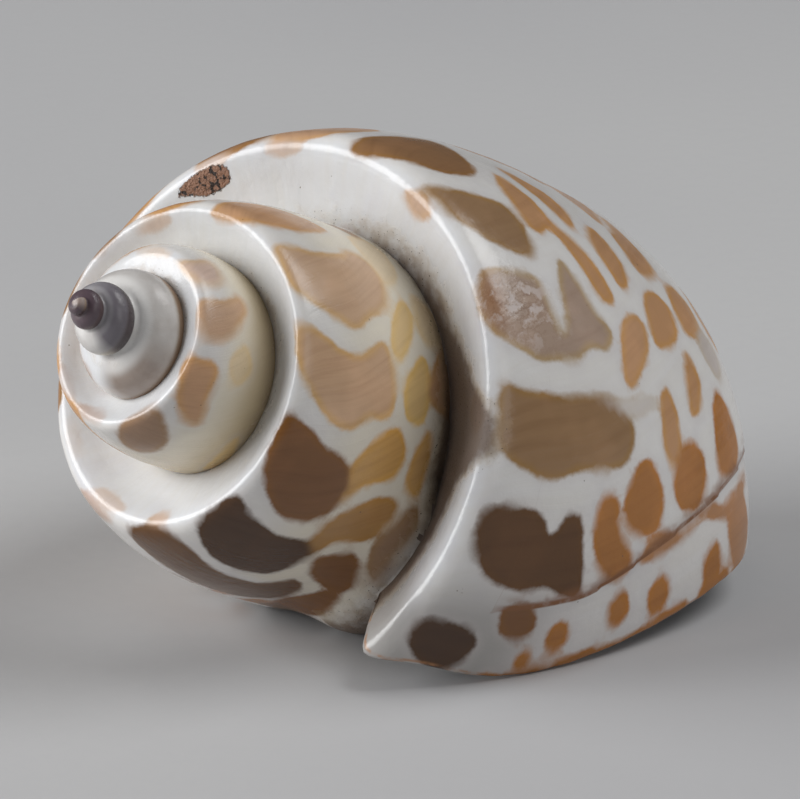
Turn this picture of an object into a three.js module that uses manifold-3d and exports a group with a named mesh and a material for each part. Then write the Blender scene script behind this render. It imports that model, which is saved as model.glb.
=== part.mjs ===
// A babylon sea shell lying on its aperture, in millimetres, +Z up, on the plane z = 0.
// The shell is one piece. One section turns about the coiling axis and grows by a constant factor each turn.
// The early whorls are solid. The last part of the body whorl is a wall round the open cavity.
import * as THREE from "three";
import { mergeVertices } from "three/addons/utils/BufferGeometryUtils.js";
import Module from "manifold-3d";

// Growth, counted in turns back from the lip
const EXPANSION = 1.807; // size of a whorl over the whorl before it
const WHORLS = 5.25;
const ROWS_PER_TURN = 40;
const CAVITY = 0.7; // how far the open cavity runs back
const SHOULDERED_FROM = 1.9; // the whorls since then have the full shoulder and channel
const ROUND_BEFORE = 2.9; // the whorls before then are plain and round
const SPIRE_SINK = 0.75; // how much deeper the plain young whorls sit than steady growth would put them
const APEX_DEPTH = 1.3; // the blunt tip, below the point from which the spiral grows

// The whorl's section at the lip, as distance from the axis and depth along it
const SHELF = [
  [11.3, 22.7],
  [14.3, 20.3],
];
const SHOULDER = [16.0, 19.7];
const WALL = [
  [17.35, 21.6],
  [18.85, 27.2],
  [19.35, 34.7],
];
const SEAT = [18.4, 43.0]; // where the next whorl's suture sits on the wall
const BASE = [
  [12.4, 49.0],
  [7.6, 51.7],
  [3.8, 51.2],
  [2.4, 49.6],
];
const ROUND_BULGE = 6.0; // how far the plain young section swells out between its two sutures
const COLUMNS_PER_SPAN = 2; // mesh columns between two points of the section

// The lip, the wall and the columella
// Degrees that the lip lies back at each point of the section
const LIP_FALL = [0, 0, -0.8, -0.8, 5, 12.8, 29, 46.5, 57, 61.5, 60.5, 58];
const WALL_THICKNESS = 1.7;
const LIP_THICKNESS = 0.8;
const LIP_TAPER = 0.12; // share of the open wall over which it thins to the lip
const ROOT = 1.6; // how far the wall's edge runs into the whorl that carries it
const COLUMELLA = [
  [1.3, 14.0],
  [2.2, 22.0],
  [2.8, 31.0],
  [2.6, 37.0],
  [1.9, 40.2],
  [0.9, 41.6],
];
const COLUMELLA_SIDES = 24;
const CORE_DEPTH = 20; // a point on the axis, inside the columella, where the solid whorls end

// The callus, a pad on the whorl before, beside the shoulder's end of the lip
const CALLUS_CENTRE = [18.4, 43.0];
const CALLUS_RADIUS = 4.5;
const CALLUS_HEIGHT = 4.2;
const CALLUS_RISES = [0.9, 0.975]; // in turns back from the lip
const CALLUS_FALLS = [1.04, 1.11];

// The pose: the shell lies on its lip and on the side of its body whorl
const APEX_RISE = 29.8; // degrees that the axis climbs towards the apex
const REST_TURN = 42.4; // degrees past the lip of the side that faces down
const REST_WEAR = 0.2; // depth of the small flats on which it rests

const COLOUR = "#d9cdbd";

const wasm = await Module();
wasm.setup();

const { degToRad, lerp, smoothstep } = THREE.MathUtils;

// The section as a smooth curve that starts at the suture, on the whorl before
const toPoint = ([radius, depth]) => new THREE.Vector2(radius, depth);
const seat = toPoint(SEAT);
const suture = seat.clone().divideScalar(EXPANSION);
const outline = [suture, ...[...SHELF, SHOULDER, ...WALL].map(toPoint), seat, ...BASE.map(toPoint)];
const columns = (outline.length - 1) * COLUMNS_PER_SPAN;
const section = new THREE.SplineCurve(outline).getPoints(columns);
const lipPoints = LIP_FALL.map((fall) => new THREE.Vector2(fall / 360, 0));
const lipFall = new THREE.SplineCurve(lipPoints).getPoints(columns);
const shoulderColumn = (SHELF.length + 1) * COLUMNS_PER_SPAN;
const seatColumn = shoulderColumn + (WALL.length + 1) * COLUMNS_PER_SPAN;

// At each column, the direction from the outside into the wall
const inward = section.map((_, column) => {
  const next = section[Math.min(column + 1, section.length - 1)];
  const along = next.clone().sub(section[Math.max(column - 1, 0)]).normalize();
  return new THREE.Vector2(-along.y, along.x);
});

// The plain section of the young whorls, an arch between the same two sutures
const chord = seat.clone().sub(suture).normalize();
const roundSection = section.slice(0, seatColumn + 1).map((_, column) => {
  const share = column / seatColumn;
  const swell = ROUND_BULGE * Math.sin(Math.PI * share) ** 0.7;
  return suture.clone().lerp(seat, share).add(new THREE.Vector2(chord.y, -chord.x).multiplyScalar(swell));
});

// A point of the section after some turns of growth, with 0 at the lip
function place(turn, point) {
  const size = EXPANSION ** turn;
  const angle = 2 * Math.PI * turn;
  const radius = size * point.x;
  return new THREE.Vector3(radius * Math.cos(angle), radius * Math.sin(angle), size * point.y);
}

// Height of the callus on the section
function callus(turn, column) {
  const reach = smoothstep(-turn, ...CALLUS_RISES) * (1 - smoothstep(-turn, ...CALLUS_FALLS));
  const away = section[column].distanceTo(toPoint(CALLUS_CENTRE)) / CALLUS_RADIUS;
  return CALLUS_HEIGHT * reach * Math.exp(-(away ** 2));
}

function sectionPoint(turn, column) {
  const point = section[column].clone().addScaledVector(inward[column], -callus(turn, column));
  if (column > seatColumn) return point;
  const youth = smoothstep(-turn, SHOULDERED_FROM, ROUND_BEFORE);
  const sink = new THREE.Vector2(0, (SPIRE_SINK * youth) / EXPANSION ** turn);
  return point.lerp(roundSection[column], youth).add(sink);
}

function solidOf(geometry) {
  const bare = geometry.clone();
  bare.deleteAttribute("normal");
  bare.deleteAttribute("uv");
  const merged = mergeVertices(bare, 1e-4);
  return new wasm.Manifold(
    new wasm.Mesh({
      numProp: 3,
      vertProperties: new Float32Array(merged.attributes.position.array),
      triVerts: new Uint32Array(merged.index.array),
    }),
  );
}

function geometryOf(solid) {
  const { vertProperties, triVerts } = solid.getMesh();
  const geometry = new THREE.BufferGeometry();
  geometry.setAttribute("position", new THREE.BufferAttribute(vertProperties, 3));
  return geometry.setIndex(new THREE.BufferAttribute(triVerts, 1));
}

// A closed body from its points and from faces of three or four corners, without the faces that have no area
function closedBody(points, faces) {
  const triangles = [];
  for (const [a, b, c, d] of faces) {
    for (const corners of d === undefined ? [[a, b, c]] : [[a, b, c], [a, c, d]]) {
      if (new Set(corners).size === 3) triangles.push(...corners);
    }
  }
  return solidOf(new THREE.BufferGeometry().setFromPoints(points).setIndex(triangles));
}

// The coiled whorls, solid, from the apex to the back of the cavity. A row ends at the seat of the next
// suture and shares its vertex there. The rows of the last turn run on round the base to the axis.
function whorls() {
  const rows = Math.round((WHORLS - CAVITY) * ROWS_PER_TURN);
  const lastTurn = rows - ROWS_PER_TURN;
  const axisColumn = section.length;
  const [apex, core] = [0, 1];
  const points = [new THREE.Vector3(0, 0, APEX_DEPTH), new THREE.Vector3(0, 0, CORE_DEPTH)];
  const known = new Map();
  const vertex = (row, column) => {
    if (column === axisColumn) return core;
    if (column === 0) return row < ROWS_PER_TURN ? apex : vertex(row - ROWS_PER_TURN, seatColumn);
    const key = row * axisColumn + column;
    if (!known.has(key)) {
      const turn = (row - rows) / ROWS_PER_TURN - CAVITY;
      known.set(key, points.length);
      points.push(place(turn, sectionPoint(turn, column)));
    }
    return known.get(key);
  };
  const faces = [];
  for (let row = 0; row < rows; row++) {
    const end = row < lastTurn ? seatColumn : axisColumn;
    for (let column = 0; column < end; column++) {
      const [above, below] = [column, column + 1];
      faces.push([vertex(row, above), vertex(row + 1, above), vertex(row + 1, below), vertex(row, below)]);
    }
  }
  // The step where the first whorl starts at the apex
  for (let column = 1; column < seatColumn; column++) {
    faces.push([apex, vertex(0, column), vertex(0, column + 1)]);
  }
  // The face across the tube at the back of the cavity
  const rim = [];
  for (let column = 0; column <= axisColumn; column++) rim.push(vertex(rows, column));
  for (let column = axisColumn - 1; column > seatColumn; column--) rim.push(vertex(lastTurn, column));
  const flat = rim.map((i) => new THREE.Vector2(Math.hypot(points[i].x, points[i].y), points[i].z));
  for (const [a, b, c] of THREE.ShapeUtils.triangulateShape(flat, [])) faces.push([rim[a], rim[c], rim[b]]);
  return closedBody(points, faces);
}

// One ring of the open wall: the outside from its root to the base, then the inside back to the root
function wallRing(share, sunk, thickness) {
  const turnAt = (column) => -CAVITY + share * (CAVITY - lipFall[column].x);
  const skin = (column, depth) => section[column].clone().addScaledVector(inward[column], depth);
  const root = (depth) => skin(0, depth).sub(new THREE.Vector2(ROOT, 0));
  const outside = section.map((_, column) => place(turnAt(column), skin(column, sunk)));
  const inside = section.map((_, column) => place(turnAt(column), skin(column, sunk + thickness)));
  return [
    place(turnAt(0), root(sunk)),
    ...outside,
    ...inside.reverse(),
    place(turnAt(0), root(sunk + thickness)),
  ];
}

// The wall round the cavity, a closed band from inside the solid whorls to the lip
function openWall() {
  const rows = Math.round(CAVITY * ROWS_PER_TURN);
  const buried = WALL_THICKNESS / 3;
  const rings = [wallRing(-0.5 / rows, buried, WALL_THICKNESS - buried)];
  for (let row = 0; row <= rows; row++) {
    const thinning = smoothstep(row / rows, 1 - LIP_TAPER, 1);
    rings.push(wallRing(row / rows, 0, lerp(WALL_THICKNESS, LIP_THICKNESS, thinning)));
  }
  const size = rings[0].length;
  const corner = (ring, step) => ring * size + ((step + size) % size);
  const faces = [];
  for (let ring = 0; ring < rings.length - 1; ring++) {
    for (let step = 0; step < size; step++) {
      faces.push([
        corner(ring, step),
        corner(ring + 1, step),
        corner(ring + 1, step + 1),
        corner(ring, step + 1),
      ]);
    }
  }
  const lip = rings.length - 1;
  for (let step = 0; step < section.length; step++) {
    const across = (ring) => [
      corner(ring, step),
      corner(ring, step + 1),
      corner(ring, -step - 2),
      corner(ring, -step - 1),
    ];
    faces.push(across(0), across(lip).reverse());
  }
  return closedBody(rings.flat(), faces);
}

// The pillar round the axis, which shows in the aperture
function columella() {
  const profile = [[0, COLUMELLA[0][1]], ...COLUMELLA, [0, COLUMELLA.at(-1)[1]]];
  const lathe = new THREE.LatheGeometry(profile.map(toPoint), COLUMELLA_SIDES);
  return solidOf(lathe.rotateX(Math.PI / 2));
}

// Turns the shell from its coiling frame to the way it lies
function layDown(geometry) {
  geometry.rotateZ(degToRad(-REST_TURN));
  geometry.rotateY(degToRad(90 + APEX_RISE));
  geometry.computeBoundingBox();
  const { min, max } = geometry.boundingBox;
  return geometry.translate(-(min.x + max.x) / 2, -(min.y + max.y) / 2, -min.z - REST_WEAR);
}

const coiled = whorls().add(openWall()).add(columella());
const ground = new THREE.BoxGeometry(200, 200, 20).translate(0, 0, -10);
const lying = solidOf(layDown(geometryOf(coiled))).subtract(solidOf(ground));

const shell = new THREE.Mesh(
  geometryOf(lying),
  new THREE.MeshStandardMaterial({ color: COLOUR, roughness: 0.35, metalness: 0 }),
);
shell.name = "shell";

const babylon = new THREE.Group();
babylon.name = "babylon_shell";
babylon.add(shell);
export default babylon;
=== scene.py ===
"""The looks of a babylon sea shell lying on its aperture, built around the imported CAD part.

The shell grows as in the CAD source: one section turns about the coiling axis and grows by a constant
factor each turn. A place on it has growth coordinates: theta, in degrees back from the lip, and across,
which is 0 on the shoulder and 1 where the next whorl's suture sits. The markings are drawn in them.
"""
import math

import bmesh
import bpy
import numpy as np
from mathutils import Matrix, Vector
from mathutils.kdtree import KDTree


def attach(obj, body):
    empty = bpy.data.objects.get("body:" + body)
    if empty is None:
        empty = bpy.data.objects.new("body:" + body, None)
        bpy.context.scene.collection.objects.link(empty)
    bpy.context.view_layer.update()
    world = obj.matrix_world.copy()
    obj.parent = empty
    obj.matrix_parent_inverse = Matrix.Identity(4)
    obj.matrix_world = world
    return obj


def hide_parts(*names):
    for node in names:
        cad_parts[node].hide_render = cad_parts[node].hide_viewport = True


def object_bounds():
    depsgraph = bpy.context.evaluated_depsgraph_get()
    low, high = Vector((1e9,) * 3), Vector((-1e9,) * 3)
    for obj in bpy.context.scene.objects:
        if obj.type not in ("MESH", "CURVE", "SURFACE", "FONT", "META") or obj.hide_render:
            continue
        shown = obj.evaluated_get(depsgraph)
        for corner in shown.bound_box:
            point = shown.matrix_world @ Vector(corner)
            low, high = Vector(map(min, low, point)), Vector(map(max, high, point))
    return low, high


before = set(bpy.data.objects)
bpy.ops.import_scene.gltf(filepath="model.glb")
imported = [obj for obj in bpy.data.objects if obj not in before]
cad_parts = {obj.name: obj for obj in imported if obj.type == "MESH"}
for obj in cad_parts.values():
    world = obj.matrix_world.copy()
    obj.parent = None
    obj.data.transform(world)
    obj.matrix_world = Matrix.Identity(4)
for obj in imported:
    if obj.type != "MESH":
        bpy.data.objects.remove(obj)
cad_low, cad_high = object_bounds()

MM = 0.001
SEED = 7

# Growth, as in the CAD source, in millimetres and in turns back from the lip
EXPANSION = 1.807
WHORLS = 6.25  # one more than in the CAD solid, at the tip
CAVITY = 0.7
SHOULDERED_FROM = 1.9
ROUND_BEFORE = 2.9
SPIRE_SINK = 0.75
APEX_DEPTH = 1.33
SHELF = [(11.3, 22.7), (14.3, 20.3)]
SHOULDER = (16.0, 19.7)
WALL = [(17.35, 21.6), (18.85, 27.2), (19.35, 34.7)]
SEAT = (18.4, 43.0)
BASE = [(12.4, 49.0), (7.6, 51.7), (3.8, 51.2), (2.4, 49.6)]
ROUND_BULGE = 6.0
ROUND_POWER = 0.7
LIP_FALL = [0, 0, -0.8, -0.8, 5, 12.8, 29, 46.5, 57, 61.5, 60.5, 58]
CALLUS_CENTRE = (18.4, 43.0)
CALLUS_RADIUS = 4.5
CALLUS_HEIGHT = 4.2
CALLUS_RISES = (0.9, 0.975)
CALLUS_FALLS = (1.04, 1.11)
WALL_THICKNESS = 1.7
LIP_THICKNESS = 0.8
LIP_TAPER = 0.12
ROOT = 1.6
COLUMELLA = [(1.3, 14.0), (2.2, 22.0), (2.8, 31.0), (2.6, 37.0), (1.9, 40.2), (0.9, 41.6)]
CORE_DEPTH = 20.0
APEX_RISE = 29.8
REST_TURN = 42.4
REST_WEAR = 0.2

# Mesh density
ROWS_PER_TURN = 220
EARLY_TURNS = 4  # the small first whorls have every fourth row
EARLY_STEP = 4
WALL_COLUMNS = 72
BASE_COLUMNS = 36
COLUMELLA_SIDES = 64
COLUMELLA_STEPS = 6
COLUMELLA_THETA = -200.0  # any angle inside the aperture
RIM_STEPS = 5  # rings that round the lip's edge
RIM_TIP = 0.02  # share of the lip's thickness that the last ring keeps
RIM_LEAST_RADIUS = 4.0  # keeps the rim short near the axis
OUTLINE_STEPS = 5  # between two points of a marking's outline
NOISE_CELLS = 4096
GROWTH_DIGITS = 4  # corners that agree so far share their fields

# Fine relief, in millimetres on the last whorl
GROWTH_WAVES = [(9.0, 0.03), (2.3, 0.008)]  # degrees from crest to crest, height
WAVE_SLANT = 0.7
LIP_CHIPS = 0.35  # degrees that the broken lip wanders
CHIP_WAVES = [(9, 3, 0.6), (31, 0, 0.4)]  # how many across, their shift and their share
CHIP_SEED = SEED + 20
CHIPPED_FROM = (0.05, 0.25)
# Theta and across of an old lip, where growth once stopped
OLD_LIP = [
    (-14, 0.0), (-21, 0.16), (-31, 0.40), (-41.5, 0.56), (-54, 0.78), (-61, 0.9), (-84, 1.3),
    (-112, 1.84),
]
OLD_LIP_STEP = 0.16
OLD_LIP_HEALING = 14.0  # degrees of growth until the step has gone
# The fuller wall above the channel: theta, across, their spreads and the height
SUTURE_SWELL = (-462, 0.97, 42, 0.3, 1.1)
# How far the channel is filled: theta and height, and where across the shelf the fill ends
CHANNEL_FILL = [(-1000, 0), (-850, 0.6), (-100, 0.6), (-55, 0.25), (-20, 0)]
CHANNEL_FILL_END = (-0.27, -0.1)
SNUG = 0.9985  # keeps the finer mesh inside the CAD box

# Ground colours
WHITE = (0.80, 0.785, 0.765)
CREAM = (0.77, 0.74, 0.69)
LILAC = (0.71, 0.69, 0.70)
HALO = (0.62, 0.57, 0.56)
RIM_TINT = (1.1, 1.05, 0.72)
MARKING_DARK = (0.72, 0.66, 0.62)
MARKING_PALE = (1.3, 1.28, 1.3)
SCRATCH = (0.60, 0.515, 0.48)
WORN_EDGE = (0.34, 0.145, 0.045)
CRUST_BROWN = (0.34, 0.18, 0.115)
# painted shade in the crust's pits
CRUST_PIT_SHADE = (0.03, 0.017, 0.012)
# dirt in the channel, also spread and darkened as painted shade there
DIRT_AND_SHADE_PALE = (0.44, 0.33, 0.20)
DIRT_AND_SHADE_BROWN = (0.15, 0.085, 0.045)
DIRT_FLECK = (0.03, 0.018, 0.011)
MARK_BROWN = (0.25, 0.10, 0.035)
LIP_STAIN = (0.42, 0.19, 0.07)
GLAZE = (0.70, 0.69, 0.68)
# olive brown with painted shade towards the suture below
SUTURE_TINT_AND_SHADE = (0.74, 0.64, 0.49)
SHELF_TINT = (0.99, 1.03, 1.09)
WARM_TINT = (1.0, 0.95, 0.82)
# painted shade on the shoulder's end beside the lip
HORN_PAINTED_SHADE = (0.35, 0.335, 0.315)
TIP_BAND = (0.48, 0.47, 0.48)
TIP_DARK = (0.06, 0.045, 0.06)
TIP_SUTURE = (0.24, 0.145, 0.09)
SPECK = (0.16, 0.11, 0.07)
FLOOR_PALE = (0.56, 0.56, 0.56)
FLOOR_SHADE = (0.5, 0.5, 0.51)

# The tip's colours along theta
TIP_COLOURS = [
    (-2260, (0.42, 0.34, 0.30)),
    (-2215, (0.38, 0.30, 0.27)),
    (-2170, (0.10, 0.07, 0.085)),
    (-1700, (0.12, 0.085, 0.10)),
    (-1610, (0.30, 0.29, 0.31)),
    (-1540, (0.18, 0.165, 0.185)),
    (-1440, (0.17, 0.155, 0.175)),
    (-1412, (0.64, 0.62, 0.60)),
    (-1250, (0.58, 0.56, 0.545)),
    (-1125, (0.58, 0.55, 0.52)),
    (-1090, (0.40, 0.33, 0.285)),
    (-1040, (0.31, 0.25, 0.21)),
]
TIP_FADE = (-1052, -1020)

# Grain of the material: noise per millimetre, or per degree of growth and across the whorl
BROAD_GRAIN = 0.35
MEDIUM_GRAIN = 1.4
FINE_GRAIN = 7.0
LINE_GRAIN = (0.9, 1.6)
STREAK_GRAIN = (0.35, 2.2)
CHIP_GRAIN = 1.1
CHIP_STRETCH = (1.0, 1.5, 0.8)

# Where colours lie: theta or across, from the start to the end of each fade
TIP_WHORL = (-1640, -1610, -1450, -1410)
GREY_WHORL = (-1400, -1370, -1060, -1010)
OLIVE_WHORLS = (-1000, -900, -680, -520)
# across, where the olive brown and painted shade towards the suture below fade in
OLIVE_WALL_AND_SHADE = (0.25, 0.8)
BEFORE_LAST_WHORL = (-345, -335)
WARM_WALL = (0.1, 0.4)
SHELF_EDGE = (-0.02, 0.03)

# Finish: roughness, and relief in millimetres
GLOSS = 0.17
GLOSS_CHANGE = 0.12
WORN_ROUGH = 0.2
DIRT_ROUGH = 0.35
CRUST_ROUGH = 0.4
LINE_RELIEF = (0.007, 0.02)  # on the shelf and on the wall
FINE_RELIEF = 0.002
MEDIUM_RELIEF = 0.03
WORN_RELIEF = -0.012
CRUST_RELIEF = 0.25
DIRT_RELIEF = 0.04
FLOOR_RELIEF = 0.008

# Wear, and dirt in the channel with painted shade there
WORN = (-79, 0.1, 8, 0.11)  # the scratched blotch: theta, across and their spread
# Dirt with painted shade in the channel: theta, amount, and the place across the shelf that it reaches
DIRT_AND_SHADE = [
    (-1100, 0.2, -0.14), (-830, 0.45, -0.12), (-760, 0.6, -0.12), (-690, 0.3, -0.12), (-560, 0.0, -0.12),
    (-470, 0.35, -0.1), (-430, 0.5, -0.1), (-380, 0.4, -0.1), (-330, 0.1, -0.14), (-300, 0.0, -0.14),
    (-180, 0.1, -0.14), (-130, 0.5, -0.1), (-115, 0.67, -0.09), (-100, 0.74, -0.068), (-78, 0.95, -0.08),
    (-62, 1, 0.0), (-54, 1, 0.11), (-48, 1, 0.11), (-38, 1, -0.02), (-10, 1, -0.05),
]
DIRT_AND_SHADE_FADE = 0.16  # across, from all of it to none
WALL_DIRT_AND_SHADE_ACROSS = (0.72, 1.0)  # across, on the wall above the channel
EARLIER_WHORLS = -340  # theta before which a later whorl makes a channel
MIDWALL = 0.5  # across, between the channels above and below
CALLUS_GLAZED = (1.4, 2.6)  # height of the callus where its glaze starts and is full
INNER_GLAZED = (1.0, 1.06)  # across, on the side that faces the aperture
INNER_FROM = (335, 352)  # degrees back from the lip
FAR = 9.0  # millimetres, for places that are near no marking
BLEND = 7.0  # how sharply markings that touch keep apart, per millimetre
MARKING_SWELL = 0.13  # millimetres that a marking reaches past its outline
MARKING_MARGIN = (14.0, 0.16)  # theta and across round a marking where its distance is worked out

# Tones of the markings
TAN = (0.54, 0.30, 0.15)
HAZEL = (0.33, 0.20, 0.105)
BROWN = (0.29, 0.155, 0.072)
CHESTNUT = (0.21, 0.092, 0.032)
UMBER = (0.125, 0.056, 0.019)
COFFEE = (0.07, 0.031, 0.012)
OLIVE = (0.70, 0.47, 0.18)
AMBER = (0.60, 0.33, 0.095)
HONEY = (0.40, 0.205, 0.058)
RUST = (0.42, 0.175, 0.045)
GREY = (0.42, 0.31, 0.24)
ROSE = (0.62, 0.43, 0.33)
SAND = (0.59, 0.385, 0.24)


def oval(theta_from, theta_to, across_from, across_to):
    """A rounded spot between two angles and two places across the whorl."""
    theta_middle = (theta_from + theta_to) / 2
    across_middle = (across_from + across_to) / 2
    return [
        (theta_from, across_middle),
        (theta_middle, across_from),
        (theta_to, across_middle),
        (theta_middle, across_to),
    ]


# The markings that the photograph shows: tone, strength and outline, in theta and across.
# First the large ones on the shoulder, from the lip back to the spire
SHOULDER_ROW = [
    (COFFEE, 1.0, [(-16.2, 0.15), (-14, 0.047), (-9, 0.042), (-7, 0.087), (-7.5, 0.16), (-14, 0.184)]),
    (UMBER, 1.0, [
        (-29.7, 0.054), (-34.6, 0.034), (-38.1, 0.048), (-39.8, 0.11), (-40.4, 0.18), (-37.7, 0.22),
        (-39.3, 0.245), (-42, 0.262), (-42.6, 0.295), (-38.5, 0.325), (-31, 0.37), (-29.9, 0.334),
        (-29.7, 0.268), (-27.2, 0.193), (-26.7, 0.12),
    ]),
    (HAZEL, 1.0, [
        (-61, 0.087), (-61, 0.03), (-55, 0.023), (-49.5, 0.03), (-47.2, 0.12), (-47.6, 0.2),
        (-50.5, 0.265), (-53, 0.377), (-56, 0.426), (-61, 0.434), (-64.5, 0.37), (-64, 0.3), (-62, 0.2),
    ]),
    (GREY, 1.0, [
        (-85.5, 0.04), (-83, 0.006), (-79, -0.013), (-76, -0.013), (-72, 0.015), (-70, 0.06),
        (-68, 0.135), (-69, 0.19), (-70, 0.25), (-73, 0.305), (-73.5, 0.36), (-77, 0.394), (-81, 0.345),
        (-87, 0.315), (-90, 0.29), (-84, 0.255), (-78, 0.243), (-74.5, 0.225), (-75, 0.205), (-80, 0.19),
        (-85, 0.17),
    ]),
    (HAZEL, 1.0, [
        (-109.5, 0.01), (-105, 0.015), (-99, 0.03), (-93.5, 0.08), (-90, 0.17), (-91.5, 0.21),
        (-98, 0.225), (-103, 0.21), (-105.5, 0.135), (-107.5, 0.06),
    ]),
    (BROWN, 1.0, [
        (-131, 0), (-126, 0), (-119, 0.05), (-114, 0.1), (-112.5, 0.16), (-113.5, 0.22), (-118, 0.26),
        (-128, 0.29), (-131, 0.22), (-132.5, 0.1),
    ]),
    (TAN, 0.9, [
        (-155, 0.03), (-150, 0.005), (-142, 0.02), (-138, 0.1), (-139, 0.22), (-147, 0.25), (-152, 0.15),
    ]),
    (RUST, 0.5, oval(-303, -286, 0.0, 0.08)),
    (UMBER, 1.0, [
        (-312, 0.073), (-318.5, 0.009), (-327.7, 0.007), (-333, 0.11), (-333, 0.31), (-337.7, 0.49),
        (-346.7, 0.578), (-343.3, 0.663), (-330, 0.646), (-318, 0.52), (-314.6, 0.287),
    ]),
    (COFFEE, 1.0, [
        (-343, 0.05), (-351, 0.004), (-362, 0.024), (-360, 0.122), (-359.5, 0.28), (-362, 0.393),
        (-363, 0.489), (-356, 0.489), (-346, 0.454), (-340.5, 0.339), (-338.5, 0.2),
    ]),
    (CHESTNUT, 1.0, [
        (-396, 0.025), (-393, 0), (-381, 0.006), (-374, 0.05), (-369, 0.14), (-366.5, 0.21),
        (-368, 0.31), (-373, 0.39), (-380, 0.425), (-385, 0.44), (-390.5, 0.34), (-392, 0.21),
        (-395, 0.1),
    ]),
    (AMBER, 0.95, [
        (-380, 0.42), (-386.5, 0.5), (-390, 0.59), (-393, 0.65), (-400, 0.66), (-405, 0.59), (-402, 0.5),
        (-391, 0.4),
    ]),
    (SAND, 1.0, [
        (-428, 0.0125), (-425, -0.0125), (-416, 0), (-409, 0.05), (-403, 0.14), (-400, 0.225),
        (-400.5, 0.31), (-405.5, 0.4), (-407, 0.475), (-411, 0.525), (-420, 0.525), (-427, 0.49),
        (-429, 0.45), (-423, 0.325), (-422.5, 0.21), (-426, 0.11),
    ]),
    (SAND, 0.95, [
        (-461.5, 0.037), (-458.5, 0.006), (-446, 0.006), (-440, 0.037), (-436, 0.125), (-432, 0.26),
        (-432.5, 0.325), (-437, 0.4), (-441, 0.5), (-446, 0.56), (-455, 0.6), (-462, 0.56), (-463, 0.46),
        (-460, 0.39), (-458.5, 0.21), (-460.5, 0.11),
    ]),
    (TAN, 0.95, [
        (-496, 0.0125), (-495, -0.025), (-487, -0.03), (-479, 0.0125), (-474.5, 0.075), (-471.5, 0.175),
        (-470.5, 0.275), (-473, 0.4), (-476.5, 0.46), (-490, 0.3), (-497, 0.15),
    ]),
    (BROWN, 0.9, [
        (-720, 0.03), (-710, -0.02), (-699, -0.005), (-688, 0.08), (-684, 0.22), (-688, 0.33),
        (-697, 0.35), (-708, 0.3), (-716, 0.16),
    ]),
    (TAN, 0.95, [
        (-759, -0.01), (-752, -0.06), (-744, 0), (-734, 0.08), (-727, 0.22), (-727, 0.34), (-734, 0.34),
        (-742, 0.27), (-751, 0.25), (-760, 0.22), (-761, 0.1),
    ]),
    (OLIVE, 0.45, oval(-776, -756, 0.33, 0.57)),
    (OLIVE, 0.6, [(-700, 0.86), (-715, 0.79), (-728, 0.79), (-714, 0.9)]),
    (TAN, 0.8, [
        (-798, 0.1), (-797, 0), (-790, -0.03), (-781, -0.015), (-774, 0.07), (-778, 0.25), (-789, 0.385),
        (-798, 0.47), (-804, 0.41), (-800, 0.25),
    ]),
    (ROSE, 0.8, [
        (-833, -0.05), (-820, -0.05), (-811.5, 0.025), (-810, 0.15), (-816.5, 0.275), (-830, 0.25),
        (-830, 0.06),
    ]),
    (ROSE, 0.45, oval(-873, -850, -0.09, -0.01)),
]

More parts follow.
